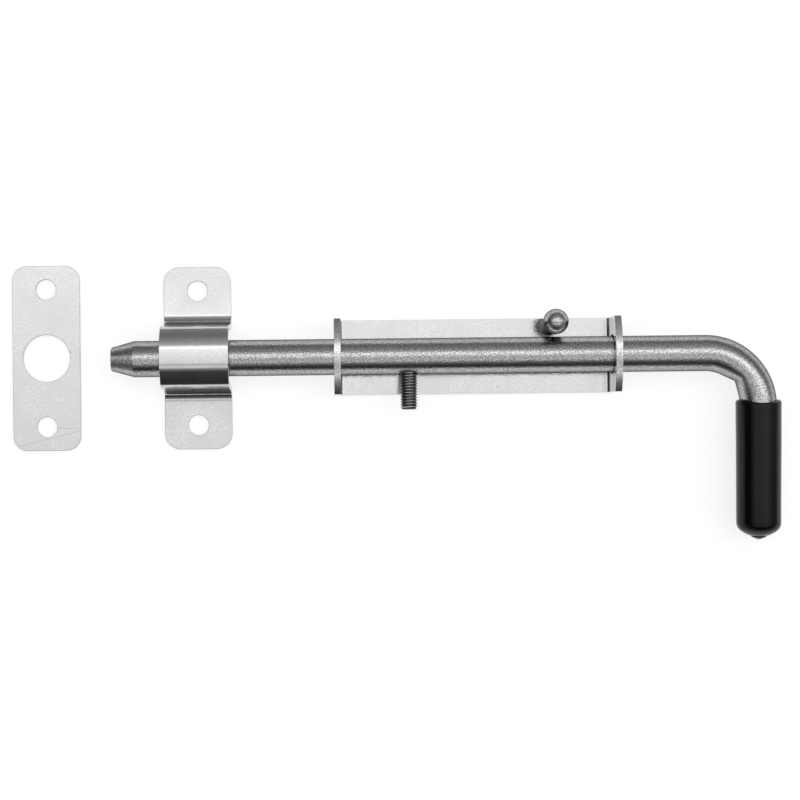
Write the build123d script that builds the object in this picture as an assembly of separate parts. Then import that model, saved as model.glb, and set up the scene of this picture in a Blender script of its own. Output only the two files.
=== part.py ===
from build123d import *
import math
import os

# Sliding gate bolt lying on its mounting plane, z = 0, in millimetres.
# X runs along the bolt, towards the handle. The origin is the middle of the base plate's fixing holes.

# Sheet parts: steel strip of one thickness
sheet = 3.0             # thickness of the strip
bend_in = 1.0           # inside radius of the bracket's two folds
screw_d = 9.0           # screw holes in all three sheet parts

# Round bar that makes the bolt and its handle
bar_d = 16.0            # bar diameter
bar_lift = 4.0          # room for screw heads between the plate and the bar
throw = 98.0            # how far the bolt stands out of the left ear
tail = 38.1             # straight bar between the right ear and the bend
nose_d = 10.5           # flat end of the tapered nose
nose_len = 10.0         # length of the taper
nose_edge = 0.5         # chamfer on the flat end
bend_r = 23.5           # centreline radius of the handle's bend
bend_turn = 90.6        # angle that the bar is bent through
crease_at = 51.0        # where the crease inside the bend is, in degrees round it
crease_half = 26.0      # how far the crease's flats reach round the bend, each way
leg_len = 53.3          # straight bar after the bend

# Base bracket: plate with an ear folded up at each end
bracket_len = 126.0     # over the outsides of the ears
bracket_w = 33.4        # width of the strip
fixing_span = 80.0      # between the two screw holes under the bar
ear_clear = 0.75        # ear hole round the bar, on the radius
ear_rest = 0.3          # the bar lies low in the ear holes, this far off their bottoms
ear_land = 3.3          # metal left above the ear hole
ear_arch = 31.0         # radius of the ear's arched top
ear_corner = 1.5        # rounding where the arch meets the sides

# Hold-open pin riveted to the plate: a shank with a ball on top
pin_x = 33.5            # shank's foot, along the plate
pin_edge = 3.7          # shank's foot, in from the plate's edge
pin_d = 8.2             # shank diameter
pin_ball_d = 11.1       # ball diameter
pin_ball_z = 23.6       # height of the ball's centre
pin_lean_out = 3.4      # the shank leans over the plate's edge by this angle
pin_lean_back = 2.0     # and towards the handle by this one
pin_tenon_d = 5.0       # riveted tenon through the plate

# Stop screw: a threaded stud across the bar
stud_x = -30.2          # along the bolt, as the bolt lies
stud_d = 8.0            # thread's outside diameter
stud_out = 15.5         # how far it stands out of the bar
stud_in = 10.0          # how deep it is screwed in
stud_edge = 1.2         # chamfer on its end

# Dip-moulded hand grip
grip_wall = 2.1         # wall round the bar
grip_over = 3.0         # the mouth reaches this far back onto the bend
grip_ease = 0.35        # the mouth stands off the bent part of the bar by this much
grip_lip = 0.9          # chamfer round the mouth
grip_end_wall = 4.6     # thickness of the closed end
grip_dome = 13.0        # radius of the domed end
grip_round = 4.5        # rounding between the side and the dome
drip_d = 7.0            # drip left on the closed end
drip_h = 1.1            # how far the drip stands out

# Keeper strap: a hat section that the bolt slides through
keeper_gap = 45.9       # from the left ear to the keeper
keeper_y = 0.6          # the loose keeper lies this far off the bolt's line
keeper_w = 30.1         # width of the strip
keeper_len = 81.5       # over both feet
keeper_side = 2.5       # loop beside the bar
keeper_top = 2.0        # loop above the bar
keeper_crown = 21.5     # middle radius of the loop's arched top
keeper_slope = 12.5     # how steeply the arched top falls away at its sides, in degrees
keeper_shoulder = 7.25  # middle radius of the loop's shoulders
keeper_foot_bend = 4.0  # middle radius of the bends into the feet
keeper_corner = 7.0     # rounded corners of the feet
keeper_span = 60.0      # between the screw holes

# Strike plate for the gate post, lying by itself
strike_gap = 37.6       # from the keeper to the strike plate
strike_y = 1.2          # the loose plate lies this far off the bolt's line
strike_w = 30.1
strike_len = 82.7
strike_clear = 2.5      # bolt hole round the bar, on the radius
strike_corner = 6.5
strike_span = 61.5      # between the screw holes

# Places that follow from the sizes above
bar_z = sheet + bar_lift + bar_d / 2
ear_x = bracket_len / 2
ear_hole_d = bar_d + 2 * ear_clear
ear_hole_z = bar_z + ear_clear - ear_rest
ear_h = ear_hole_z + ear_hole_d / 2 + ear_land
nose_x = -ear_x - throw
bend_x = ear_x + tail
pin_y = bracket_w / 2 - pin_edge
keeper_x = -ear_x - keeper_gap - keeper_w / 2
strike_x = keeper_x - keeper_w / 2 - strike_gap - strike_w / 2
strike_hole_d = bar_d + 2 * strike_clear
through = 4 * sheet     # drill length that passes the strip with room to spare


def screw_holes(x, y, along_x, along_y):
    """Two upright drills, half a step each way from (x, y)."""
    drill = Cylinder(screw_d / 2, through)
    return [Pos(x + side * along_x / 2, y + side * along_y / 2, 0) * drill for side in (-1, 1)]


def base_bracket():
    """Strip folded up at both ends, with arched ears and a hole in each for the bar."""
    outside = Pos(0, ear_h / 2) * Rectangle(bracket_len, ear_h)
    inside = Pos(0, sheet + ear_h / 2) * Rectangle(bracket_len - 2 * sheet, ear_h)
    outside = fillet(outside.vertices().group_by(Axis.Y)[0], bend_in + sheet)
    inside = fillet(inside.vertices().group_by(Axis.Y)[0], bend_in)
    folded = extrude(Plane.XZ * (outside - inside), bracket_w / 2, both=True)

    arch = Pos(0, ear_h - ear_arch) * Circle(ear_arch)
    ear = (Pos(0, ear_h / 2) * Rectangle(bracket_w, ear_h)) & arch
    ear = fillet(ear.vertices().group_by(Axis.Y)[-1], ear_corner)
    bracket = folded & extrude(Plane.YZ * ear, bracket_len, both=True)

    bar_hole = Pos(0, 0, ear_hole_z) * Rot(0, 90, 0) * Cylinder(ear_hole_d / 2, 2 * bracket_len)
    bracket -= bar_hole
    bracket -= screw_holes(0, 0, fixing_span, 0)
    bracket -= Pos(pin_x, pin_y, 0) * Cylinder(pin_tenon_d / 2, through)
    return bracket


def hold_open_pin():
    """Ball-headed pin that leans a little, with a tenon through the plate."""
    rise = pin_ball_z - sheet
    overlap = pin_d / 2
    shank = Pos(0, 0, (rise - overlap) / 2) * Cylinder(pin_d / 2, rise + overlap)
    ball = Pos(0, 0, rise) * Sphere(pin_ball_d / 2)
    pin = Pos(pin_x, pin_y, sheet) * Rot(-pin_lean_out, pin_lean_back, 0) * (shank + ball)
    above_plate = Pos(pin_x, pin_y, sheet + pin_ball_z) * Box(2 * pin_ball_d, 2 * pin_ball_d, 2 * pin_ball_z)
    tenon = Pos(pin_x, pin_y, sheet / 2) * Cylinder(pin_tenon_d / 2, sheet)
    return (pin & above_plate) + tenon


def bar_path():
    """Middle line of the bar: the bolt, the bend and the handle's leg, and the leg's direction."""
    bolt = Line((nose_x + nose_len, 0), (bend_x, 0))
    bend = JernArc(start=bolt @ 1, tangent=(1, 0), radius=bend_r, arc_size=-bend_turn)
    leg = Line(bend @ 1, (bend @ 1) + (bend % 1) * leg_len)
    return Wire([bolt.edge(), bend.edge(), leg.edge()]), bend @ 1, bend % 1


def bend_crease():
    """Wedge that turns the inside of the bend into two flats meeting in a crease."""
    inner_r = bend_r - bar_d / 2
    corner_r = inner_r / math.cos(math.radians(crease_half))

    def on_bend(radius, angle):
        turn = math.radians(angle)
        return (bend_x + radius * math.sin(turn), radius * math.cos(turn) - bend_r)

    wedge = Polyline(
        on_bend(inner_r, crease_at - crease_half),
        on_bend(corner_r, crease_at),
        on_bend(inner_r, crease_at + crease_half),
        close=True,
    )
    return extrude(make_face(wedge), bar_d, both=True)


def stud_body():
    """Threaded stud without its thread, pointing across the bar, towards -Y."""
    length = stud_out + stud_in
    stud = Cylinder(stud_d / 2, length)
    stud = chamfer(stud.edges().group_by(Axis.Z)[-1], stud_edge)
    return Pos(stud_x, -(bar_d / 2 - stud_in + length / 2), bar_z) * Rot(90, 0, 0) * stud


def bolt_bar():
    """Round bar with a tapered nose, bent down into the handle, with the stud's hole."""
    path, _, _ = bar_path()
    bar = sweep(Plane(origin=(nose_x + nose_len, 0), z_dir=(1, 0, 0)) * Circle(bar_d / 2), path)
    nose = Cone(bar_d / 2, nose_d / 2, nose_len)
    nose = chamfer(nose.edges().group_by(Axis.Z)[-1], nose_edge)
    bar += Pos(nose_x + nose_len / 2, 0, 0) * Rot(0, -90, 0) * nose
    bar -= bend_crease()
    return Pos(0, 0, bar_z) * bar - stud_body()


def hand_grip():
    """Dip-moulded sleeve, closed and rounded at its end, with the drip that the dipping leaves."""
    _, leg_start, leg_way = bar_path()
    bar_r = bar_d / 2
    grip_r = bar_r + grip_wall
    end_z = leg_len + grip_end_wall
    dome_z = end_z - grip_dome
    rim_z = dome_z + math.sqrt(grip_dome ** 2 - grip_r ** 2)

    side = Line((grip_r, -grip_over), (grip_r, rim_z))
    dome_turn = math.degrees(math.acos(grip_r / grip_dome))
    dome = CenterArc((0, dome_z), grip_dome, dome_turn, 90 - dome_turn)
    axis = Line((0, end_z), (0, -grip_over))
    mouth = Line((0, -grip_over), (grip_r, -grip_over))
    section = make_face([side, dome, axis, mouth])
    section = fillet(section.vertices().filter_by(lambda v: v.X > bar_r).sort_by(Axis.Y)[-1], grip_round)
    section = chamfer(section.vertices().filter_by(lambda v: v.X > bar_r).sort_by(Axis.Y)[0], grip_lip)
    outline = revolve(Plane.XZ * section, Axis.Z)

    drip_r = drip_d / 2
    ball_r = (drip_r ** 2 + drip_h ** 2) / (2 * drip_h)
    outline += Pos(0, 0, end_z + drip_h - ball_r) * Sphere(ball_r) & Pos(0, 0, end_z) * Cylinder(drip_r, 2 * drip_h)

    outline -= Pos(0, 0, leg_len / 2) * Cylinder(bar_r, leg_len)
    outline -= Pos(0, 0, -grip_over) * Cylinder(bar_r + grip_ease, 2 * grip_over)
    leg_plane = Plane(origin=leg_start + Vector(0, 0, bar_z), z_dir=leg_way)
    return leg_plane * outline


def keeper_strap():
    """Hat-shaped strap: two feet with screw holes and a raised loop with an arched top for the bolt."""
    slope = math.radians(keeper_slope)
    wall_y = bar_d / 2 + keeper_side + sheet / 2
    crown_z = bar_z + bar_d / 2 + keeper_top + sheet / 2
    ridge_z = crown_z + keeper_crown * (1 / math.cos(slope) - 1)
    shoulder_z = ridge_z - wall_y * math.tan(slope)
    foot_z = sheet / 2
    middle = FilletPolyline(
        (-keeper_len / 2, foot_z),
        (-wall_y, foot_z),
        (-wall_y, shoulder_z),
        (0, ridge_z),
        (wall_y, shoulder_z),
        (wall_y, foot_z),
        (keeper_len / 2, foot_z),
        radius=[keeper_foot_bend, keeper_shoulder, keeper_crown, keeper_shoulder, keeper_foot_bend],
    )
    section = Plane.YZ * trace(middle, sheet)
    strap = extrude(section, keeper_w / 2, both=True)
    outline = extrude(RectangleRounded(keeper_w, keeper_len, keeper_corner), 2 * crown_z, both=True)
    strap = Pos(keeper_x, keeper_y, 0) * (strap & outline)
    return strap - screw_holes(keeper_x, keeper_y, 0, keeper_span)


def strike_plate():
    """Flat plate with a hole for the bolt between two screw holes."""
    plate = extrude(RectangleRounded(strike_w, strike_len, strike_corner), sheet)
    plate -= Cylinder(strike_hole_d / 2, through)
    plate = Pos(strike_x, strike_y, 0) * plate
    return plate - screw_holes(strike_x, strike_y, 0, strike_span)


pieces = {
    "base_bracket": base_bracket(),
    "hold_open_pin": hold_open_pin(),
    "bolt_bar": bolt_bar(),
    "stop_screw": stud_body(),
    "hand_grip": hand_grip(),
    "keeper_strap": keeper_strap(),
    "strike_plate": strike_plate(),
}

os.makedirs("parts", exist_ok=True)
for name, solid in pieces.items():
    export_step(solid, f"parts/{name}.step")
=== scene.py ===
import math

import bmesh
import bpy
from mathutils import Matrix, Vector, noise


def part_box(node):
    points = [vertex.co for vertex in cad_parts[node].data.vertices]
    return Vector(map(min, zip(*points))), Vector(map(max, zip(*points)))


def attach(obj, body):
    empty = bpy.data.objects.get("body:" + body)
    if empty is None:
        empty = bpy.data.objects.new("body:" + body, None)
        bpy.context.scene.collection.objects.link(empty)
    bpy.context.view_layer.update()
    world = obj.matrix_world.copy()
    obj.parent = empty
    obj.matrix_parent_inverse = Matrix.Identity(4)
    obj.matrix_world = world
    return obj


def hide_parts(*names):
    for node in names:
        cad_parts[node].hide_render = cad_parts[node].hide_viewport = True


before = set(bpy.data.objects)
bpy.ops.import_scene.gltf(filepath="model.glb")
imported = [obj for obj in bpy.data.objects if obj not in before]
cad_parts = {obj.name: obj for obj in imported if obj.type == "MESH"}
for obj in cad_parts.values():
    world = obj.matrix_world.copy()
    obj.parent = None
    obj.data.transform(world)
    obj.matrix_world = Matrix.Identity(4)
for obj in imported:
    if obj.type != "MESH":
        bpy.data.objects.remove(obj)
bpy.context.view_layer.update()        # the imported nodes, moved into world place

bl_info = {
    "name": "Sliding gate bolt",
    "version": (1, 0, 0),
    "blender": (4, 5, 0),
    "location": "View3D > Sidebar > Gate Bolt",
    "description": "Zinc plated sliding gate bolt with its keeper, strike plate and hand grip",
    "category": "Object",
}

# Places and sizes that the frame gives, in metres
MM = 0.001
bracket_lo, bracket_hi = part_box("base_bracket")
keeper_lo, keeper_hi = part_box("keeper_strap")
strike_lo, strike_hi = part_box("strike_plate")
bar_lo, bar_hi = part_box("bolt_bar")
stud_lo, stud_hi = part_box("stop_screw")
grip_lo, grip_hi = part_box("hand_grip")
bar_height = (bar_lo.z + bar_hi.z) / 2
UP = Vector((0, 0, 1))
BISECT_NEAR = 0.0001 * MM  # vertices this near a cutting plane count as on it


# Kinds of setting

def length(name, description, default):
    """A length or a coordinate, in metres."""
    return bpy.props.FloatProperty(
        name=name, description=description, default=default,
        precision=5, unit="LENGTH", subtype="DISTANCE",
    )


def angle(name, description, degrees):
    return bpy.props.FloatProperty(
        name=name, description=description, default=math.radians(degrees), subtype="ANGLE"
    )


def colour(name, description, default):
    return bpy.props.FloatVectorProperty(
        name=name, description=description, default=default, size=3, min=0.0, max=1.0, subtype="COLOR"
    )


# Settings

class GATEBOLT_PG_sheet(bpy.types.PropertyGroup):
    """What the three sheet parts share."""
    thickness: length("Thickness", "Thickness of the steel strip", strike_hi.z - strike_lo.z)
    screw_hole: length("Screw hole", "Diameter of the screw holes", 9.0 * MM)
    edge: length("Edge rounding", "Rounding that the shearing leaves on every edge", 0.25 * MM)


class GATEBOLT_PG_bracket(bpy.types.PropertyGroup):
    """Base plate folded up into two ears."""
    fold: length("Fold radius", "Radius of the folds, at the middle of the strip", 2.5 * MM)
    arch: length("Ear arch", "Radius of the ears' arched tops", 31.0 * MM)
    corner: length("Ear corner", "Rounding where the arch meets the sides", 1.5 * MM)
    hole: length("Bar hole", "Diameter of the holes in the ears", 17.5 * MM)
    hole_up: length("Bar hole above bar", "How far the ears' holes are centred above the bar", 0.45 * MM)
    span: length("Screw span", "Distance between the screw holes under the bar", 80.0 * MM)
    tenon: length("Tenon hole", "Diameter of the rest pin's riveted tenon", 5.0 * MM)


class GATEBOLT_PG_keeper(bpy.types.PropertyGroup):
    """Hat shaped strap that the bolt slides through."""
    side: length("Side room", "Room between the bar and the loop's sides", 2.5 * MM)
    crown: length("Crown width", "Width of the loop's top between its two upper bends", 10.4 * MM)
    crown_off: length("Crown offset", "How far the loop's top is out of the middle", 0.6 * MM)
    slope: angle("Shoulder slope", "How steeply the loop's shoulders fall away from the top", 37.0)
    back_bend: length("Back bend radius", "Middle radius of the upper bend behind the bolt", 8.0 * MM)
    front_bend: length("Front bend radius", "Middle radius of the upper bend before the bolt", 5.5 * MM)
    shoulder: length("Shoulder radius", "Middle radius of the bends into the loop's sides", 2.8 * MM)
    splay: length("Splay", "How far the loop's sides spread towards the feet", 2.0 * MM)
    foot_bend: length("Foot bend radius", "Middle radius of the bends into the feet", 6.1 * MM)
    corner: length("Corner", "Radius of the feet's corners", 7.0 * MM)
    span: length("Screw span", "Distance between the two screw holes", 60.0 * MM)


class GATEBOLT_PG_strike(bpy.types.PropertyGroup):
    """Flat plate for the gate post."""
    corner: length("Corner", "Radius of the plate's corners", 6.5 * MM)
    hole: length("Bolt hole", "Diameter of the hole for the bolt", 21.0 * MM)
    span: length("Screw span", "Distance between the two screw holes", 61.5 * MM)


class GATEBOLT_PG_bar(bpy.types.PropertyGroup):
    """Round bar bent into the bolt and its handle."""
    diameter: length("Diameter", "Diameter of the bar", bar_hi.z - bar_lo.z)
    nose: length("Nose diameter", "Diameter of the flat end", 10.5 * MM)
    nose_length: length("Nose length", "Length of the taper", 10.0 * MM)
    nose_edge: length("Nose edge", "Chamfer on the flat end", 0.3 * MM)
    bend: length("Bend radius", "Radius of the bend, at the middle of the bar", 23.5 * MM)
    turn: angle("Bend angle", "Angle that the bar is bent through", 90.6)
    crease_at: angle("Crease place", "Where the crease inside the bend is, round the bend", 51.0)
    crease_half: angle("Crease reach", "How far the crease's flats reach, each way", 26.0)


class GATEBOLT_PG_stud(bpy.types.PropertyGroup):
    """Threaded stop screw."""
    diameter: length("Thread diameter", "Outside diameter of the thread", 8.0 * MM)
    pitch: length("Pitch", "Distance from one thread to the next", 1.25 * MM)
    chamfer: length("End chamfer", "Chamfer on the outer end", 1.2 * MM)
    drill: length("Drilled hole", "Diameter of the hole in the bar", 8.3 * MM)


class GATEBOLT_PG_pin(bpy.types.PropertyGroup):
    """Ball headed rest pin."""
    shank: length("Shank diameter", "Diameter of the shank", 8.2 * MM)
    ball: length("Ball diameter", "Diameter of the ball", 11.1 * MM)
    ball_up: length("Ball height", "Height of the ball's centre above the ground", 23.6 * MM)
    along: length("Place along", "Where the pin stands along the plate", 33.5 * MM)
    across: length("Place across", "Where the pin stands across the plate", 13.0 * MM)
    lean_out: angle("Lean outwards", "How far the pin leans over the plate's edge", 3.4)
    lean_back: angle("Lean back", "How far the pin leans towards the handle", 2.0)


class GATEBOLT_PG_grip(bpy.types.PropertyGroup):
    """Dip moulded hand grip."""
    over: length("Over the bend", "How far the mouth reaches back onto the bend", 3.0 * MM)
    ease: length("Mouth gap", "Gap between the mouth and the bar", 0.3 * MM)
    lip: length("Lip rounding", "Rounding of the mouth's lip", 1.5 * MM)
    dip: length("Mouth dip", "How far the mouth dips in front and behind", 1.6 * MM)
    taper: length("Taper", "How much the radius shrinks towards the end", 0.2 * MM)
    dome: length("Dome radius", "Radius of the domed end", 13.0 * MM)
    round: length("End rounding", "Rounding between the side and the dome", 4.5 * MM)
    drip: length("Drip diameter", "Diameter of the drip on the end", 7.0 * MM)
    drip_up: length("Drip height", "How far the drip stands out", 1.1 * MM)
    waviness: length("Waviness", "How uneven the dipped surface is", 0.09 * MM)


class GATEBOLT_PG_finish(bpy.types.PropertyGroup):
    """Colours of the finishes."""
    sheet: colour("Sheet zinc", "Bright zinc plating on the sheet parts", (0.585, 0.595, 0.605))
    bar: colour("Bar zinc", "Greyer zinc plating on the round bar", (0.43, 0.435, 0.44))
    steel: colour("Screw steel", "Plain steel of the stop screw", (0.34, 0.345, 0.35))
    vinyl: colour("Vinyl", "Black vinyl of the hand grip", (0.002, 0.002, 0.002))
    floor: colour("Floor", "Plain pale floor", (0.8, 0.8, 0.8))


# Each group of settings, and what the panel calls it
SETTING_GROUPS = {
    "sheet": (GATEBOLT_PG_sheet, "Sheet parts"),
    "bracket": (GATEBOLT_PG_bracket, "Base bracket"),
    "keeper": (GATEBOLT_PG_keeper, "Keeper"),
    "strike": (GATEBOLT_PG_strike, "Strike plate"),
    "bar": (GATEBOLT_PG_bar, "Bolt bar"),
    "stud": (GATEBOLT_PG_stud, "Stop screw"),
    "pin": (GATEBOLT_PG_pin, "Rest pin"),
    "grip": (GATEBOLT_PG_grip, "Hand grip"),
    "finish": (GATEBOLT_PG_finish, "Finishes"),
}


class GATEBOLT_PG_all(bpy.types.PropertyGroup):
    """Every setting of the gate bolt."""
    __annotations__ = {
        name: bpy.props.PointerProperty(type=kind, name=label)
        for name, (kind, label) in SETTING_GROUPS.items()
    }


# Modelling tools

def deselect():
    bpy.ops.object.select_all(action="DESELECT")


def activate(obj):
    """Makes obj the only selected object and the active one."""
    deselect()
    obj.select_set(True)
    bpy.context.view_layer.objects.active = obj


def select_mesh():
    bpy.ops.mesh.select_all(action="SELECT")


def begin(name):
    """Names the new primitive, puts its place in its mesh and opens it for editing, all selected."""
    obj = bpy.context.object
    obj.name = name
    obj.data.name = name
    activate(obj)
    bpy.ops.object.transform_apply(location=True, rotation=True, scale=True)
    bpy.ops.object.mode_set(mode="EDIT")
    bpy.ops.mesh.select_mode(type="VERT")
    select_mesh()
    return obj


def end():
    """Closes the editing with every normal outwards."""
    bpy.ops.mesh.select_mode(type="FACE")
    select_mesh()
    bpy.ops.mesh.normals_make_consistent(inside=False)
    bpy.ops.object.mode_set(mode="OBJECT")


def pick_edges(test):
    """Selects only the edges that pass the test."""
    bpy.ops.mesh.select_mode(type="EDGE")
    bpy.ops.mesh.select_all(action="DESELECT")
    mesh = bpy.context.object.data
    body = bmesh.from_edit_mesh(mesh)
    found = [edge for edge in body.edges if test(edge)]
    if not found:
        raise RuntimeError(f"no edge to select on {bpy.context.object.name}")
    for edge in found:
        edge.select_set(True)
    body.select_flush_mode()
    bmesh.update_edit_mesh(mesh)


def push(step):
    """Extrudes what is selected by a step."""
    bpy.ops.mesh.extrude_region_move(TRANSFORM_OT_translate={"value": tuple(step)})


def soften(obj, turn):
    """Smooth shading up to a turn in degrees."""
    activate(obj)
    bpy.ops.object.shade_smooth_by_angle(angle=math.radians(turn))


def apply_modifier(obj, kind, **settings):
    activate(obj)
    modifier = obj.modifiers.new(kind.title(), kind)
    for name, value in settings.items():
        setattr(modifier, name, value)
    bpy.ops.object.modifier_apply(modifier=modifier.name)


def cut(obj, tool, operation="DIFFERENCE"):
    """Cuts obj with a tool, or keeps what lies inside it, and removes the tool."""
    apply_modifier(obj, "BOOLEAN", object=tool, operation=operation, solver="EXACT")
    bpy.data.objects.remove(tool)


def drill(start, stop, diameter, vertices=64):
    """Round cutter from one point to another."""
    way = stop - start
    deselect()
    bpy.ops.mesh.primitive_cylinder_add(
        vertices=vertices,
        radius=diameter / 2,
        depth=way.length,
        location=(start + stop) / 2,
        rotation=way.to_track_quat("Z", "Y").to_euler(),
    )
    tool = bpy.context.object
    bpy.ops.object.transform_apply(location=True, rotation=True, scale=True)
    return tool


def single_point(name):
    """One vertex at the origin, opened for editing."""
    deselect()
    bpy.ops.mesh.primitive_plane_add(size=1.0)
    obj = begin(name)
    bpy.ops.mesh.merge(type="CENTER")
    return obj


def lathe(name, profile, steps):
    """Turns a profile of (radius, height) points round the Z axis."""
    obj = single_point(name)
    points = [Vector((radius, 0, height)) for radius, height in profile]
    bpy.ops.transform.translate(value=points[0])
    for before, after in zip(points, points[1:]):
        push(after - before)
    select_mesh()
    bpy.ops.mesh.spin(steps=steps, angle=math.tau, center=(0, 0, 0), axis=(0, 0, 1))
    select_mesh()
    bpy.ops.mesh.remove_doubles(threshold=0.001 * MM)
    end()
    return obj


def arc(centre, radius, start, stop, steps):
    """Points of a flat arc, angles in radians, ends included."""
    turns = [start + (stop - start) * step / steps for step in range(steps + 1)]
    return [(centre[0] + radius * math.cos(turn), centre[1] + radius * math.sin(turn)) for turn in turns]


def check_closed(obj):
    """Stops the script if a piece has an open or doubled edge, or faces inwards."""
    body = bmesh.new()
    body.from_mesh(obj.data)
    loose = sum(1 for edge in body.edges if len(edge.link_faces) != 2)
    volume = body.calc_volume(signed=True)
    body.free()
    if loose or volume <= 0:
        raise RuntimeError(f"{obj.name} has {loose} open edges and holds {volume} cubic metres")


def place(obj, matrix):
    """Moves a finished mesh, the object staying at the origin."""
    obj.data.transform(matrix)
    obj.data.update()


def put_on(obj, body, node, slot, *materials):
    """Checks that a piece is closed, gives it its finishes, puts it on its body and hides the frame's node
    that it stands for.
    """
    check_closed(obj)
    for material in materials:
        obj.data.materials.append(material)
    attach(obj, body)
    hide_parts(node)


# Sheet metal

FOLD_STEP = 7  # degrees that one segment of a fold turns
FACING = 0.5  # a face looks along an axis when that part of its normal is above this


def folded_strip(name, line, radii, width, thickness, section):
    """Strip of sheet that follows a line of (run, rise) points, rounded at its folds.

    section turns (across, run, rise) into a place. The first stretch of the line lies flat.
    """
    (run_0, rise_0), (run_1, _) = line[:2]
    deselect()
    bpy.ops.mesh.primitive_plane_add(size=1.0)
    obj = begin(name)
    corner_a = section(-width / 2, run_0, rise_0)
    corner_b = section(width / 2, run_1, rise_0)
    middle = (corner_a + corner_b) / 2
    span = corner_b - corner_a
    bpy.ops.transform.resize(value=(abs(span.x), abs(span.y), 1), center_override=(0, 0, 0))
    bpy.ops.transform.translate(value=middle)
    near = 0.01 * MM
    run_way = (section(0, 1, 0) - section(0, 0, 0)).normalized()

    def on_fold(edge, run, rise):
        return all((vert.co - section(0, run, rise)).project(run_way).length < near
                   and abs(vert.co.z - rise) < near for vert in edge.verts)

    pick_edges(lambda edge: on_fold(edge, run_1, rise_0))
    for before, after in zip(line[1:], line[2:]):
        push(section(0, *after) - section(0, *before))
    for index, radius in enumerate(radii, start=1):
        before, fold, after = (Vector(point) for point in line[index - 1:index + 2])
        turn = (fold - before).angle(after - fold)
        pick_edges(lambda edge: on_fold(edge, *fold))
        bpy.ops.mesh.bevel(
            offset_type="OFFSET",
            offset=radius * math.tan(turn / 2),
            segments=max(4, round(math.degrees(turn) / FOLD_STEP)),
            affect="EDGES",
        )
    end()
    apply_modifier(obj, "SOLIDIFY", thickness=thickness, offset=0.0, use_even_offset=True)
    return obj


def is_upright(edge, least):
    """Whether an edge rises by more than the least."""
    return abs(edge.verts[0].co.z - edge.verts[1].co.z) > least


def round_corners(obj, radius, segments, test):
    """Rounds the edges that pass the test."""
    activate(obj)
    bpy.ops.object.mode_set(mode="EDIT")
    pick_edges(test)
    bpy.ops.mesh.bevel(offset_type="OFFSET", offset=radius, segments=segments, affect="EDGES")
    end()


def upright_hole(obj, sheet, x, y, diameter, vertices=64):
    """Round hole down through a flat stretch of sheet."""
    middle = Vector((x, y, 0))
    through = 3 * sheet.thickness * UP
    cut(obj, drill(middle - through, middle + through, diameter, vertices))


def screw_holes(obj, sheet, x, y, along_x, along_y):
    """Two upright holes, half a step each way from (x, y)."""
    for side in (-0.5, 0.5):
        upright_hole(obj, sheet, x + side * along_x, y + side * along_y, sheet.screw_hole)


def finish_sheet(obj, settings, node, is_edge):
    """Marks the faces that were sheared, rounds every sheared edge a little and plates the piece."""
    for face in obj.data.polygons:
        if is_edge(face.center, face.normal):
            face.material_index = 1
    soften(obj, turn=30)
    apply_modifier(
        obj, "BEVEL", width=settings.sheet.edge, segments=3,
        limit_method="ANGLE", angle_limit=math.radians(40), harden_normals=True,
    )
    plating = finish("zinc_sheet", zinc_sheet, settings)
    put_on(obj, "base", node, "zinc_plated_sheet", plating, finish("sheared_edge", sheared_edge, settings))


class GATEBOLT_OT_base_bracket(bpy.types.Operator):
    """Base plate with an arched ear folded up at each end"""
    bl_idname = "gatebolt.base_bracket"
    bl_label = "Base bracket"

    def execute(self, context):
        settings = context.scene.gate_bolt
        sheet, own, pin = settings.sheet, settings.bracket, settings.pin
        half = sheet.thickness / 2
        width = bracket_hi.y - bracket_lo.y
        ear_x = bracket_hi.x - half
        ear_top = bracket_hi.z

        def section(across, run, rise):
            return Vector((run, across, rise))

        line = [(-ear_x, half), (ear_x, half), (ear_x, ear_top)]
        obj = folded_strip("bracket_sheet", line, [own.fold], width, sheet.thickness, section)
        # The second ear is folded up after the first, so the strip is mirrored about its middle
        bpy.ops.object.mode_set(mode="EDIT")
        select_mesh()
        bpy.ops.mesh.bisect(
            plane_co=(0, 0, 0), plane_no=(1, 0, 0), clear_inner=True, threshold=BISECT_NEAR)
        bpy.ops.object.mode_set(mode="OBJECT")
        apply_modifier(obj, "MIRROR", use_axis=(True, False, False), merge_threshold=0.01 * MM)
        bpy.ops.object.mode_set(mode="EDIT")
        end()

        arch_centre = Vector((0, 0, ear_top - own.arch))
        reach = Vector((bracket_hi.x + sheet.thickness, 0, 0))
        cut(obj, drill(arch_centre - reach, arch_centre + reach, 2 * own.arch, 256), "INTERSECT")
        corner_z = arch_centre.z + math.sqrt(own.arch ** 2 - (width / 2) ** 2)
        near = 0.1 * MM
        round_corners(obj, own.corner, 5, lambda edge: all(
            abs(vert.co.z - corner_z) < near and abs(abs(vert.co.y) - width / 2) < near
            for vert in edge.verts))

        bar_axis = Vector((0, 0, bar_height + own.hole_up))
        cut(obj, drill(bar_axis - reach, bar_axis + reach, own.hole, 96))
        screw_holes(obj, sheet, 0, 0, own.span, 0)
        upright_hole(obj, sheet, pin.along, pin.across, own.tenon, 32)

        fold_top = 2 * sheet.thickness
        finish_sheet(obj, settings, "base_bracket", lambda centre, normal: abs(normal.y) > FACING
                     or (centre.z > fold_top and abs(normal.x) < FACING)
                     or (abs(centre.x) < ear_x - fold_top and abs(normal.z) < FACING))
        return {"FINISHED"}


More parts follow.
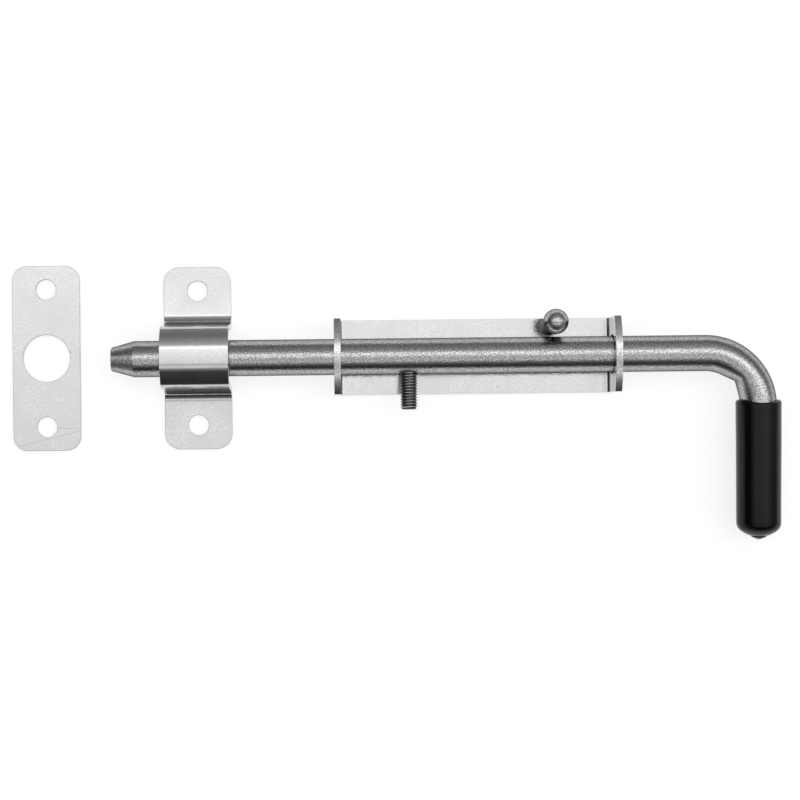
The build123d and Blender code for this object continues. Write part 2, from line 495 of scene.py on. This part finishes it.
class GATEBOLT_OT_keeper_strap(bpy.types.Operator):
    """Hat shaped keeper with two screw feet and a raised loop"""
    bl_idname = "gatebolt.keeper_strap"
    bl_label = "Keeper strap"

    def execute(self, context):
        settings = context.scene.gate_bolt
        sheet, own = settings.sheet, settings.keeper
        half = sheet.thickness / 2
        middle = (keeper_lo + keeper_hi) / 2
        foot = (keeper_hi.y - keeper_lo.y) / 2
        width = keeper_hi.x - keeper_lo.x
        wall = settings.bar.diameter / 2 + own.side + half
        crown = keeper_hi.z - half
        shoulder = crown - (wall - own.crown / 2) * math.tan(own.slope)

        def section(across, run, rise):
            return Vector((middle.x + across, middle.y + run, rise))

        wall_foot = wall + own.splay
        crown_front = own.crown_off - own.crown / 2
        crown_back = own.crown_off + own.crown / 2
        line = [(-foot, half), (-wall_foot, half), (-wall, shoulder), (crown_front, crown),
                (crown_back, crown), (wall, shoulder), (wall_foot, half), (foot, half)]
        radii = [own.foot_bend, own.shoulder, own.front_bend, own.back_bend, own.shoulder, own.foot_bend]
        obj = folded_strip("keeper_sheet", line, radii, width, sheet.thickness, section)
        near = 0.01 * MM
        round_corners(obj, own.corner, 12, lambda edge: is_upright(edge, half) and all(
            abs(abs(vert.co.y - middle.y) - foot) < near
            and abs(abs(vert.co.x - middle.x) - width / 2) < near
            for vert in edge.verts))
        screw_holes(obj, sheet, middle.x, middle.y, 0, own.span)

        foot_start = wall_foot + own.foot_bend
        finish_sheet(obj, settings, "keeper_strap", lambda centre, normal: abs(normal.x) > FACING
                     or (abs(centre.y - middle.y) > foot_start and abs(normal.z) < FACING))
        return {"FINISHED"}


class GATEBOLT_OT_strike_plate(bpy.types.Operator):
    """Flat strike plate with a bolt hole between two screw holes"""
    bl_idname = "gatebolt.strike_plate"
    bl_label = "Strike plate"

    def execute(self, context):
        settings = context.scene.gate_bolt
        sheet, own = settings.sheet, settings.strike
        middle = (strike_lo + strike_hi) / 2
        size = strike_hi - strike_lo
        deselect()
        bpy.ops.mesh.primitive_plane_add(size=1.0, location=(middle.x, middle.y, strike_lo.z))
        bpy.context.object.scale = (size.x, size.y, 1)
        obj = begin("strike_sheet")
        push(sheet.thickness * UP)
        pick_edges(lambda edge: is_upright(edge, sheet.thickness / 2))
        bpy.ops.mesh.bevel(offset_type="OFFSET", offset=own.corner, segments=12, affect="EDGES")
        end()
        upright_hole(obj, sheet, middle.x, middle.y, own.hole, 96)
        screw_holes(obj, sheet, middle.x, middle.y, 0, own.span)
        finish_sheet(obj, settings, "strike_plate", lambda _, normal: abs(normal.z) < FACING)
        return {"FINISHED"}


# Round bar and its fittings

THREAD_DEPTH = 0.6134  # of the pitch, as on a metric thread


def bend_centre(bar):
    """Centre of the bar's bend: the outside of the bend is the bar's furthest point along X."""
    bend_x = bar_hi.x - bar.bend - bar.diameter / 2
    return Vector((bend_x, -bar.bend, bar_height))


def leg(bar):
    """Start and direction of the handle's straight leg."""
    centre = bend_centre(bar)
    start = centre + bar.bend * Vector((math.sin(bar.turn), math.cos(bar.turn), 0))
    way = Vector((math.cos(bar.turn), -math.sin(bar.turn), 0))
    return start, way


def leg_reach(bar, lowest, radius):
    """Length along the leg at which a round end of this radius comes down to this lowest Y."""
    start, way = leg(bar)
    return (start.y - lowest - radius * abs(way.x)) / abs(way.y)


class GATEBOLT_OT_bolt_bar(bpy.types.Operator):
    """Round bar with a tapered nose, bent into the handle, with the crease that bending leaves"""
    bl_idname = "gatebolt.bolt_bar"
    bl_label = "Bolt bar"

    def execute(self, context):
        settings = context.scene.gate_bolt
        own, stud = settings.bar, settings.stud
        radius = own.diameter / 2
        centre = bend_centre(own)
        around, straight_rings, bend_rings, leg_rings = 96, 24, 61, 4
        deselect()
        bpy.ops.mesh.primitive_circle_add(
            vertices=around,
            radius=own.nose / 2 - own.nose_edge,
            fill_type="NGON",
            location=(bar_lo.x, 0, bar_height),
            rotation=(0, -math.pi / 2, 0),
        )
        obj = begin("bolt_round_bar")
        stations = [(own.nose_edge, own.nose / 2), (own.nose_length, radius)]
        x, ring = bar_lo.x, own.nose / 2 - own.nose_edge
        for along, wider in stations:
            push((bar_lo.x + along - x, 0, 0))
            x = bar_lo.x + along
            grow = wider / ring
            bpy.ops.transform.resize(value=(1, grow, grow), center_override=(x, 0, bar_height))
            ring = wider
        for _ in range(straight_rings):
            push(((centre.x - bar_lo.x - own.nose_length) / straight_rings, 0, 0))
        bpy.ops.mesh.spin(steps=bend_rings, angle=own.turn, center=centre, axis=(0, 0, 1))
        _, way = leg(own)
        length_of_leg = leg_reach(own, bar_lo.y, radius)
        for _ in range(leg_rings):
            push(way * length_of_leg / leg_rings)
        end()
        self.crease(obj, own, centre, radius)
        seat = Vector(((stud_lo.x + stud_hi.x) / 2, stud_hi.y, bar_height))
        cut(obj, drill(seat, seat - Vector((0, own.diameter, 0)), stud.drill, 48))
        soften(obj, turn=10)
        put_on(obj, "bolt", "bolt_bar", "zinc_plated_bar", finish("zinc_bar", zinc_bar, settings))
        return {"FINISHED"}

    @staticmethod
    def crease(obj, own, centre, radius):
        """Presses the inside of the bend towards two straight runs that meet in a crease."""
        inner = own.bend - radius
        first = own.crease_at - own.crease_half
        last = own.crease_at + own.crease_half
        for vert in obj.data.vertices:
            out = vert.co - centre
            out.z = 0
            turn = math.atan2(out.x, out.y)
            if out.length < own.bend and first < turn < last:
                flat = inner / math.cos(min(turn - first, last - turn))
                depth = (own.bend - out.length) / radius
                vert.co += out.normalized() * (flat - inner) * depth ** 2
        obj.data.update()


class GATEBOLT_OT_stop_screw(bpy.types.Operator):
    """Stop screw with its thread turned out"""
    bl_idname = "gatebolt.stop_screw"
    bl_label = "Stop screw"

    def execute(self, context):
        settings = context.scene.gate_bolt
        own = settings.stud
        reach = stud_hi.y - stud_lo.y
        depth = THREAD_DEPTH * own.pitch
        crest, root = own.pitch / 8, own.pitch / 4
        flank = (own.pitch - crest - root) / 2
        obj = single_point("stop_stud")
        bpy.ops.transform.translate(value=(own.diameter / 2 - depth, 0, 0))
        for step in ((0, 0, root), (depth, 0, flank), (0, 0, crest), (-depth, 0, flank)):
            push(step)
        bpy.ops.object.mode_set(mode="OBJECT")
        turns, around = math.ceil(reach / own.pitch) + 2, 40
        apply_modifier(obj, "SCREW", axis="Z", angle=math.tau, screw_offset=own.pitch, iterations=turns,
                       steps=around, render_steps=around, use_smooth_shade=True)
        bpy.ops.object.mode_set(mode="EDIT")
        select_mesh()
        bpy.ops.mesh.remove_doubles(threshold=0.001 * MM)
        bottom = 1.47 * own.pitch  # off the thread's corners, so that the cut is clean
        for height, side in ((bottom, "clear_inner"), (bottom + reach, "clear_outer")):
            select_mesh()
            bpy.ops.mesh.bisect(plane_co=(0, 0, height), plane_no=(0, 0, 1), use_fill=True,
                                threshold=BISECT_NEAR, **{side: True})
        end()
        place(obj, Matrix.Translation((0, 0, -bottom)))
        # What lies outside this turned blank is cut off, which chamfers the outer end
        radius, clear = own.diameter / 2, 0.2 * MM
        blank = lathe("stud_blank", [
            (0, -own.pitch), (radius + clear, -own.pitch), (radius + clear, reach - own.chamfer - clear),
            (radius - 0.6 * own.chamfer, reach - 0.3 * own.chamfer), (radius - own.chamfer, reach),
            (0, reach),
        ], 64)
        cut(obj, blank, "INTERSECT")
        soften(obj, turn=25)
        x = (stud_lo.x + stud_hi.x) / 2
        place(obj, Matrix.Translation((x, stud_hi.y, bar_height)) @ Matrix.Rotation(math.pi / 2, 4, "X"))
        put_on(obj, "bolt", "stop_screw", "screw_steel", finish("thread_steel", thread_steel, settings))
        return {"FINISHED"}


class GATEBOLT_OT_hold_open_pin(bpy.types.Operator):
    """Ball headed pin that leans a little outwards"""
    bl_idname = "gatebolt.hold_open_pin"
    bl_label = "Rest pin"

    def execute(self, context):
        settings = context.scene.gate_bolt
        own, sheet = settings.pin, settings.sheet
        tenon = settings.bracket.tenon / 2
        shank, ball = own.shank / 2, own.ball / 2
        rise = own.ball_up - sheet.thickness
        sunk, neck_below, neck_turn, shank_rings = 0.3 * MM, 0.4 * MM, 0.05, 4
        neck = math.asin(shank / ball)
        profile = [(0, -sheet.thickness), (tenon, -sheet.thickness), (tenon, -sunk), (shank, -sunk)]
        neck_start = rise - ball * math.cos(neck) - neck_below
        profile += [(shank, neck_start * ring / shank_rings) for ring in range(1, shank_rings + 1)]
        profile += arc((0, rise), ball, neck - math.pi / 2 + neck_turn, math.pi / 2, 28)
        obj = lathe("rest_pin", profile, 72)
        lean = Matrix.Rotation(-own.lean_out, 4, "X") @ Matrix.Rotation(own.lean_back, 4, "Y")
        for vert in obj.data.vertices:
            if vert.co.z > -2 * sunk:
                vert.co = lean @ vert.co
        place(obj, Matrix.Translation((own.along, own.across, sheet.thickness)))
        soften(obj, turn=30)
        put_on(obj, "base", "hold_open_pin", "zinc_plated_sheet", finish("zinc_bar", zinc_bar, settings))
        return {"FINISHED"}


class GATEBOLT_OT_hand_grip(bpy.types.Operator):
    """Dip moulded black grip with an uneven mouth, a domed end and its drip"""
    bl_idname = "gatebolt.hand_grip"
    bl_label = "Hand grip"

    def execute(self, context):
        settings = context.scene.gate_bolt
        own, bar = settings.grip, settings.bar
        bar_radius = bar.diameter / 2
        outer = (grip_hi.z - grip_lo.z) / 2
        start, way = leg(bar)
        bore = leg_reach(bar, bar_lo.y, bar_radius)
        tip = leg_reach(bar, grip_lo.y, 0)
        dome_end = tip - own.drip_up
        small = outer - own.taper
        lip = own.lip
        mouth = -own.over
        flare = 2 * MM
        inside = bar_radius + own.ease
        inner_round = min(lip, outer - inside - lip)

        profile = [(0, bore), (bar_radius, bore), (bar_radius, flare), (inside, 0), (inside, mouth + flare)]
        profile += arc((inside + inner_round, mouth + inner_round), inner_round,
                       math.pi, 1.5 * math.pi, 5)[:-1]
        profile += arc((outer - lip, mouth + lip), lip, 1.5 * math.pi, math.tau, 6)

        # The rounding touches the side from inside and the dome from inside
        dome_z = dome_end - own.dome
        round_x = small - own.round
        lean = math.acos(round_x / (own.dome - own.round))
        round_z = dome_z + (own.dome - own.round) * math.sin(lean)
        side_steps = 24
        side_start = mouth + lip
        for step in range(1, side_steps):
            part = step / side_steps
            profile.append((outer - own.taper * part, side_start + (round_z - side_start) * part))
        profile += arc((round_x, round_z), own.round, 0, lean, 10)
        drip_radius = own.drip / 2
        drip_edge = math.acos(drip_radius / own.dome)
        profile += arc((0, dome_z), own.dome, lean, drip_edge, 8)[1:]
        profile += self.drip(own, dome_z, dome_end, drip_edge)
        obj = lathe("vinyl_grip", profile, 96)
        self.unevenness(obj, own, mouth, outer)
        across = way.cross(UP)
        turned = Matrix((UP, across, way)).transposed().to_4x4()
        place(obj, Matrix.Translation(start) @ turned)
        soften(obj, turn=50)
        put_on(obj, "bolt", "hand_grip", "grip_vinyl", finish("dipped_vinyl", dipped_vinyl, settings))
        return {"FINISHED"}

    @staticmethod
    def drip(own, dome_z, dome_end, drip_edge):
        """Rounded drop that hangs on the dome's middle."""
        start_radius = own.dome * math.cos(drip_edge)
        start_z = dome_z + own.dome * math.sin(drip_edge)
        tip = dome_end + own.drip_up
        steps, fullness, hang = 12, 0.8, 1.15
        points = []
        for step in range(1, steps):
            part = step / steps
            swell = math.cos(part * math.pi / 2)
            points.append((start_radius * swell ** fullness, start_z + (tip - start_z) * part ** hang))
        return points + [(0, tip)]

    @staticmethod
    def unevenness(obj, own, mouth, outer):
        """Dips the mouth in front and behind, and makes the dipped surface a little wavy."""
        waves_per_metre = 1 / (14 * MM)
        wave_stretch = 0.5
        mouth_zone = 6 * MM
        for vert in obj.data.vertices:
            radial = Vector((vert.co.x, vert.co.y, 0))
            if radial.length < outer - 1.5 * own.lip and vert.co.z > mouth + mouth_zone:
                continue
            front = (radial.x / radial.length) ** 2 if radial.length else 0
            near_mouth = max(0.0, 1 - (vert.co.z - mouth) / mouth_zone) ** 1.5
            vert.co.z += own.dip * front * near_mouth
            spot = Vector((vert.co.x, vert.co.y, vert.co.z * wave_stretch))
            wave = noise.noise(spot * waves_per_metre)
            if radial.length:
                vert.co -= radial.normalized() * own.waviness * (1 + wave) * (1 - near_mouth)


# Finishes

PER_METRE = 1000.0  # millimetres in a metre


class Graph:
    """Adds nodes to one node tree and links them."""

    def __init__(self, tree):
        self.tree = tree

    def put(self, value, socket):
        """Links a node's output to a socket, or gives the socket a plain value."""
        if isinstance(value, bpy.types.NodeSocket):
            self.tree.links.new(value, socket)
        else:
            socket.default_value = value

    def add(self, kind, inputs=None, **settings):
        made = self.tree.nodes.new(kind)
        made.location = (220 * (len(self.tree.nodes) - 1), 0)
        for name, value in settings.items():
            setattr(made, name, value)
        for name, value in (inputs or {}).items():
            self.put(value, made.inputs[name])
        return made

    def math(self, operation, first, second=0.0):
        return self.add("ShaderNodeMath", {0: first, 1: second}, operation=operation).outputs[0]

    def spread(self, value, low, high, out_low=0.0, out_high=1.0):
        """Maps low to high onto an output range, smoothly and clamped."""
        return self.add(
            "ShaderNodeMapRange",
            {"Value": value, "From Min": low, "From Max": high, "To Min": out_low, "To Max": out_high},
            interpolation_type="SMOOTHSTEP",
        ).outputs[0]

    def between(self, mask, none, full):
        """A number that goes from none to full with a mask."""
        return self.spread(mask, 0.0, 1.0, none, full)

    def blend(self, mask, first, second):
        """A colour that goes from the first to the second with a mask."""
        return self.add("ShaderNodeMix", {0: mask, 6: first, 7: second}, data_type="RGBA").outputs[2]

    def spot(self):
        """The place on the object, in metres."""
        return self.add("ShaderNodeTexCoord").outputs["Object"]

    def parts(self, vector):
        return self.add("ShaderNodeSeparateXYZ", {0: vector}).outputs


def plated_grain(graph, given):
    """Hammered grain of plated steel: soft dimples with a finer roughness on them."""
    cell_share, finer_by, start, full = 0.5, 3.0, 0.38, 0.62
    spot = graph.spot()
    dimples = graph.math("DIVIDE", PER_METRE, given["Dimple size"])
    coarse = graph.add("ShaderNodeTexNoise", {
        "Vector": spot, "Scale": dimples, "Detail": 1.5, "Roughness": 0.5}).outputs["Fac"]
    cells = graph.add("ShaderNodeTexVoronoi", {
        "Vector": spot, "Scale": dimples, "Smoothness": 0.6}, feature="SMOOTH_F1").outputs["Distance"]
    finer = graph.math("MULTIPLY", dimples, finer_by)
    fine = graph.add("ShaderNodeTexNoise", {"Vector": spot, "Scale": finer, "Detail": 1.0}).outputs["Fac"]
    dimple = graph.math("ADD", coarse, graph.math("MULTIPLY", cells, cell_share))
    height = graph.math("ADD", dimple, graph.math("MULTIPLY", fine, given["Fine share"]))
    return {"Height": height, "Speckle": graph.spread(coarse, start, full)}


def handling_marks(graph, given):
    """Cloudy smudges and a few dark specks."""
    start, full = 0.3, 0.7
    spot = graph.spot()
    smudge = graph.add("ShaderNodeTexNoise", {
        "Vector": spot, "Scale": graph.math("DIVIDE", PER_METRE, given["Smudge size"]),
        "Detail": 4.0, "Roughness": 0.6, "Distortion": 0.6}).outputs["Fac"]
    dots = graph.add("ShaderNodeTexVoronoi", {
        "Vector": spot, "Scale": graph.math("DIVIDE", PER_METRE, given["Speck spacing"])}).outputs
    size_of_dot = graph.math("MULTIPLY", given["Speck radius"], dots["Color"])
    speck = graph.math("LESS_THAN", dots["Distance"], size_of_dot)
    return {"Smudge": graph.spread(smudge, start, full), "Speck": speck}


def scratch_line(graph, given):
    """One straight scratch from a start point, in millimetres and degrees."""
    spot = graph.parts(graph.spot())
    x = graph.math("SUBTRACT", graph.math("MULTIPLY", spot["X"], PER_METRE), given["Start X"])
    y = graph.math("SUBTRACT", graph.math("MULTIPLY", spot["Y"], PER_METRE), given["Start Y"])
    turn = graph.math("RADIANS", given["Angle"])
    cosine, sine = graph.math("COSINE", turn), graph.math("SINE", turn)
    along = graph.math("ADD", graph.math("MULTIPLY", x, cosine), graph.math("MULTIPLY", y, sine))
    off = graph.math("SUBTRACT", graph.math("MULTIPLY", y, cosine), graph.math("MULTIPLY", x, sine))
    inside = graph.math("LESS_THAN", graph.math("ABSOLUTE", off), given["Width"])
    after_start = graph.math("GREATER_THAN", along, 0.0)
    before_end = graph.math("LESS_THAN", along, given["Length"])
    within = graph.math("MULTIPLY", after_start, before_end)
    return {"Scratch": graph.math("MULTIPLY", inside, within)}


# Each effect's name, its inputs with their defaults, and what draws it
GRAIN = ("Plated grain", {"Dimple size": 1.0, "Fine share": 0.3}, plated_grain)
MARKS = ("Handling marks", {"Smudge size": 12.0, "Speck spacing": 7.0, "Speck radius": 0.06}, handling_marks)
SCRATCH = (
    "Scratch line", {"Start X": 0.0, "Start Y": 0.0, "Angle": 0.0, "Length": 20.0, "Width": 0.3},
    scratch_line,
)


def new_effect(name, inputs, draw):
    """Makes an effect's node group, with named number sockets."""
    group = bpy.data.node_groups.new(name, "ShaderNodeTree")
    for socket, value in inputs.items():
        made = group.interface.new_socket(name=socket, in_out="INPUT", socket_type="NodeSocketFloat")
        made.default_value = value
    graph = Graph(group)
    results = draw(graph, graph.add("NodeGroupInput").outputs)
    for socket in results:
        group.interface.new_socket(name=socket, in_out="OUTPUT", socket_type="NodeSocketFloat")
    graph.add("NodeGroupOutput", results)
    return group


def use(graph, effect, **values):
    """Places an effect in a material with its own values. Its node group is made once."""
    name, inputs, draw = effect
    group = bpy.data.node_groups.get(name) or new_effect(name, inputs, draw)
    made = graph.add("ShaderNodeGroup", node_tree=group)
    for socket, value in values.items():
        made.inputs[socket.replace("_", " ")].default_value = value
    return made.outputs


def finish(name, lay, settings):
    """Material that lay fills in, or the one made before."""
    if name in bpy.data.materials:
        return bpy.data.materials[name]
    made = bpy.data.materials.new(name)
    made.use_nodes = True
    lay(Graph(made.node_tree), made.node_tree.nodes["Principled BSDF"], settings.finish)
    return made


def coat(graph, shader, colour, rough, height, depth, metallic=1.0):
    """Gives a shader its colour, roughness and relief, the relief's depth in millimetres."""
    relief = graph.add("ShaderNodeBump", {"Height": height, "Distance": depth * MM, "Strength": 1.0})
    graph.put(colour, shader.inputs["Base Color"])
    graph.put(rough, shader.inputs["Roughness"])
    graph.put(relief.outputs["Normal"], shader.inputs["Normal"])
    shader.inputs["Metallic"].default_value = metallic


def tones(base, *factors):
    """A colour made darker or lighter by each factor."""
    return [tuple(channel * factor for channel in base) + (1.0,) for factor in factors]


# Start X and Y in millimetres, angle in degrees and length in millimetres
STRIKE_SCRATCHES = (
    (-203.7, -38.0, 14.1, 27.9),
    (-187.0, -30.1, -1.0, 10.4),
)


def zinc_sheet(graph, shader, colours):
    """Bright zinc plating on strip: faint clouds, tiny specks and a fine orange peel."""
    clear, clouded, speckle, speck, scratched = tones(colours.sheet, 0.94, 1.06, 0.96, 0.45, 0.84)
    grain = use(graph, GRAIN, Dimple_size=0.9, Fine_share=0.5)
    marks = use(graph, MARKS, Smudge_size=14.0, Speck_spacing=6.0, Speck_radius=0.07)
    cloud = graph.blend(marks["Smudge"], clear, clouded)
    speckled = graph.blend(grain["Speckle"], cloud, speckle)
    marked = graph.blend(marks["Speck"], speckled, speck)
    for start_x, start_y, turn, reach in STRIKE_SCRATCHES:
        scratch = use(
            graph, SCRATCH, Start_X=start_x, Start_Y=start_y, Angle=turn, Length=reach, Width=0.2)
        marked = graph.blend(scratch["Scratch"], marked, scratched)
    coat(graph, shader, marked, graph.between(marks["Smudge"], 0.17, 0.11), grain["Height"], depth=0.02)


def sheared_edge(graph, shader, colours):
    """Torn and burnished edge of the strip under its plating."""
    burnished, torn = tones(colours.sheet, 1.0, 0.72)
    grain = use(graph, GRAIN, Dimple_size=0.7, Fine_share=0.5)
    colour = graph.blend(grain["Speckle"], burnished, torn)
    coat(graph, shader, colour, graph.between(grain["Speckle"], 0.12, 0.2), grain["Height"], depth=0.03)


def zinc_bar(graph, shader, colours):
    """Greyer zinc plating on hot rolled bar, hammered all over."""
    clear, clouded, speckle = tones(colours.bar, 1.1, 1.2, 0.7)
    grain = use(graph, GRAIN, Dimple_size=0.6, Fine_share=0.5)
    marks = use(graph, MARKS, Smudge_size=9.0, Speck_spacing=4.0, Speck_radius=0.05)
    cloud = graph.blend(marks["Smudge"], clear, clouded)
    speckled = graph.blend(grain["Speckle"], cloud, speckle)
    coat(graph, shader, speckled, graph.between(marks["Smudge"], 0.08, 0.05), grain["Height"], depth=0.06)
    shader.inputs["Specular Tint"].default_value = (0.2, 0.2, 0.2, 1.0)


def thread_steel(graph, shader, colours):
    """Plain steel of the threaded stud, burnished on the crests, with painted shade down in the thread that
    also darkens the end face.
    """
    dark, burnished = tones(colours.steel, 0.25, 1.5)
    flank_start, flank_end = 3.45 * MM, 3.95 * MM
    grain = use(graph, GRAIN, Dimple_size=0.4, Fine_share=0.6)
    spot = graph.parts(graph.spot())
    beside = graph.math("SUBTRACT", spot["X"], (stud_lo.x + stud_hi.x) / 2)
    above = graph.math("SUBTRACT", spot["Z"], bar_height)
    squares = [graph.math("MULTIPLY", side, side) for side in (beside, above)]
    from_axis = graph.math("SQRT", graph.math("ADD", *squares))
    # Painted shade: the colour darkens nearer the axis than the crests, in the thread's roots and on the end
    # face
    colour = graph.blend(graph.spread(from_axis, flank_start, flank_end), dark, burnished)
    coat(graph, shader, colour, graph.between(grain["Speckle"], 0.26, 0.34), grain["Height"], depth=0.02)


def dipped_vinyl(graph, shader, colours):
    """Black dipped vinyl: a soft shine with dust specks."""
    clean = tones(colours.vinyl, 1.0)[0]
    dust = (0.16, 0.16, 0.16, 1.0)
    marks = use(graph, MARKS, Smudge_size=10.0, Speck_spacing=3.0, Speck_radius=0.05)
    grain = use(graph, GRAIN, Dimple_size=1.6, Fine_share=0.3)
    dusty = graph.blend(marks["Speck"], clean, dust)
    rough = graph.between(marks["Smudge"], 0.15, 0.2)
    coat(graph, shader, dusty, rough, grain["Height"], depth=0.01, metallic=0.0)
    shader.inputs["IOR"].default_value = 1.3


# Studio

FLOOR_SIZE = 24.0
FLOOR_GLOW = 0.76
CAMERA_PLACE = (-58.90, -27.29, 803.66)  # millimetres
CAMERA_TURN = (0.346, -0.767, -0.652)  # degrees
CAMERA_LENS = 80.42
CAMERA_SHIFT = (0.04, 0.01)

# Brightness of the studio by the angle from overhead in degrees, from the bolt's front to its back
FRONT_TO_BACK = {
    -90: 0.08, -80: 0.03, -72: 0.01, -60: 0.03, -48: 0.08, -40: 0.14, -33: 0.38, -27: 0.42, -20: 0.32,
    -14: 0.26, -8: 0.34, -2: 0.46, 3: 0.51, 8: 0.63, 13: 0.82, 18: 0.80, 23: 0.48, 28: 0.27, 34: 0.22,
    45: 0.17, 60: 0.12, 75: 0.10, 90: 0.08,
}
# The same from the nose's side to the handle's side
NOSE_TO_HANDLE = {
    -90: 0.05, -55: 0.05, -40: 0.40, -30: 0.72, -10: 0.78, 7: 0.80, 25: 1.00,
    38: 0.85, 55: 0.55, 67: 0.30, 75: 0.28, 81: 0.42, 86: 0.30, 90: 0.25,
}
SOFT_BOX = 3.9  # brightness that the two tables are shares of
FILL = 0.35
HORIZON = 0.35


class GATEBOLT_OT_stage(bpy.types.Operator):
    """Pale floor, a soft studio all round and the camera"""
    bl_idname = "gatebolt.stage"
    bl_label = "Studio"

    def execute(self, context):
        self.floor(context.scene.gate_bolt.finish.floor)
        self.studio(context.scene)
        self.camera(context.scene)
        context.scene.view_settings.view_transform = "Standard"
        return {"FINISHED"}

    @staticmethod
    def floor(base):
        """Plain floor that shows white behind the object and keeps its shadow."""
        deselect()
        bpy.ops.mesh.primitive_plane_add(size=FLOOR_SIZE, location=(0, 0, -0.05 * MM))
        floor = bpy.context.object
        floor.name = "floor"
        paper = bpy.data.materials.new("floor_paper")
        paper.use_nodes = True
        paper.node_tree.nodes.clear()
        graph = Graph(paper.node_tree)
        rays = graph.add("ShaderNodeLightPath").outputs
        mirrored = graph.math("MAXIMUM", rays["Is Glossy Ray"], rays["Is Transmission Ray"])
        seen = graph.math("MAXIMUM", rays["Is Camera Ray"], mirrored)
        pale, dim = tones(base, 1.0, 0.5)
        plain = graph.add("ShaderNodeBsdfDiffuse", {"Color": pale})
        faint = graph.add("ShaderNodeBsdfDiffuse", {"Color": dim})
        glow = graph.add("ShaderNodeEmission", {"Strength": FLOOR_GLOW})
        lifted = graph.add("ShaderNodeAddShader", {0: faint.outputs[0], 1: glow.outputs[0]})
        shown = graph.add("ShaderNodeMixShader", {0: seen, 1: plain.outputs[0], 2: lifted.outputs[0]})
        graph.add("ShaderNodeOutputMaterial", {"Surface": shown.outputs[0]})
        floor.data.materials.append(paper)

    @staticmethod
    def studio(scene):
        """World with a soft box overhead, a dark front, fills at the far sides and a pale horizon."""
        world = bpy.data.worlds.new("studio")
        world.use_nodes = True
        world.node_tree.nodes.clear()
        scene.world = world
        graph = Graph(world.node_tree)
        way = graph.parts(graph.add("ShaderNodeTexCoord").outputs["Generated"])

        def falloff(turn, stops):
            """Brightness by an angle from overhead."""
            part = graph.math("ADD", graph.math("DIVIDE", turn, math.pi), 0.5)
            ramp = graph.add("ShaderNodeValToRGB", {"Fac": part})
            ramp.color_ramp.interpolation = "LINEAR"
            while len(ramp.color_ramp.elements) < len(stops):
                ramp.color_ramp.elements.new(0.5)
            for element, (degrees, value) in zip(ramp.color_ramp.elements, sorted(stops.items())):
                element.position = degrees / 180 + 0.5
                element.color = (value, value, value, 1)
            return ramp.outputs["Color"]

        def fade(turn, start, full):
            """Goes from 0 to 1 between two angles in degrees."""
            return graph.spread(turn, math.radians(start), math.radians(full))

        to_back = graph.math("ARCTAN2", way["Y"], way["Z"])
        to_handle = graph.math("ARCTAN2", way["X"], way["Z"])
        box = graph.math("MULTIPLY", falloff(to_back, FRONT_TO_BACK), falloff(to_handle, NOSE_TO_HANDLE))
        off_middle = fade(graph.math("ABSOLUTE", to_back), 32, 48)
        nose_corners = graph.math("MULTIPLY", fade(to_handle, -42, -58), off_middle)
        far_sides = graph.math("MAXIMUM", fade(to_handle, 40, 65), nose_corners)
        fill = graph.math("MULTIPLY", far_sides, FILL)
        brightness = graph.math("MAXIMUM", graph.math("MULTIPLY", box, SOFT_BOX), fill)
        horizon = graph.spread(way["Z"], 0.17, 0.10)
        pale = graph.add("ShaderNodeMix", {0: horizon, 2: brightness, 3: HORIZON}).outputs[0]
        background = graph.add("ShaderNodeBackground", {"Strength": pale})
        graph.add("ShaderNodeOutputWorld", {"Surface": background.outputs[0]})

    @staticmethod
    def camera(scene):
        """Camera straight above the plates, a little left of the middle."""
        data = bpy.data.cameras.new("camera")
        camera = bpy.data.objects.new("camera", data)
        scene.collection.objects.link(camera)
        camera.location = [place * MM for place in CAMERA_PLACE]
        camera.rotation_euler = [math.radians(turn) for turn in CAMERA_TURN]
        data.sensor_width = 36.0
        data.lens = CAMERA_LENS
        data.shift_x, data.shift_y = CAMERA_SHIFT
        data.clip_start = 10 * MM
        scene.camera = camera


OPERATORS = (
    GATEBOLT_OT_stage,
    GATEBOLT_OT_base_bracket,
    GATEBOLT_OT_hold_open_pin,
    GATEBOLT_OT_bolt_bar,
    GATEBOLT_OT_stop_screw,
    GATEBOLT_OT_hand_grip,
    GATEBOLT_OT_keeper_strap,
    GATEBOLT_OT_strike_plate,
)


class GATEBOLT_PT_panel(bpy.types.Panel):
    """Lists the settings and the pieces"""
    bl_idname = "GATEBOLT_PT_panel"
    bl_label = "Gate bolt"
    bl_space_type = "VIEW_3D"
    bl_region_type = "UI"
    bl_category = "Gate Bolt"

    def draw(self, context):
        settings = context.scene.gate_bolt
        for name, (kind, label) in SETTING_GROUPS.items():
            box = self.layout.box()
            box.label(text=label)
            for setting in kind.__annotations__:
                box.prop(getattr(settings, name), setting)
        for operator in OPERATORS:
            self.layout.operator(operator.bl_idname)


CLASSES = (*(kind for kind, _ in SETTING_GROUPS.values()), GATEBOLT_PG_all, *OPERATORS, GATEBOLT_PT_panel)


def register():
    for cls in CLASSES:
        bpy.utils.register_class(cls)
    bpy.types.Scene.gate_bolt = bpy.props.PointerProperty(type=GATEBOLT_PG_all)


def unregister():
    del bpy.types.Scene.gate_bolt
    for cls in reversed(CLASSES):
        bpy.utils.unregister_class(cls)


def main():
    register()
    for operator in OPERATORS:
        getattr(bpy.ops.gatebolt, operator.bl_idname.split(".")[1])()


if __name__ == "__main__":
    main()
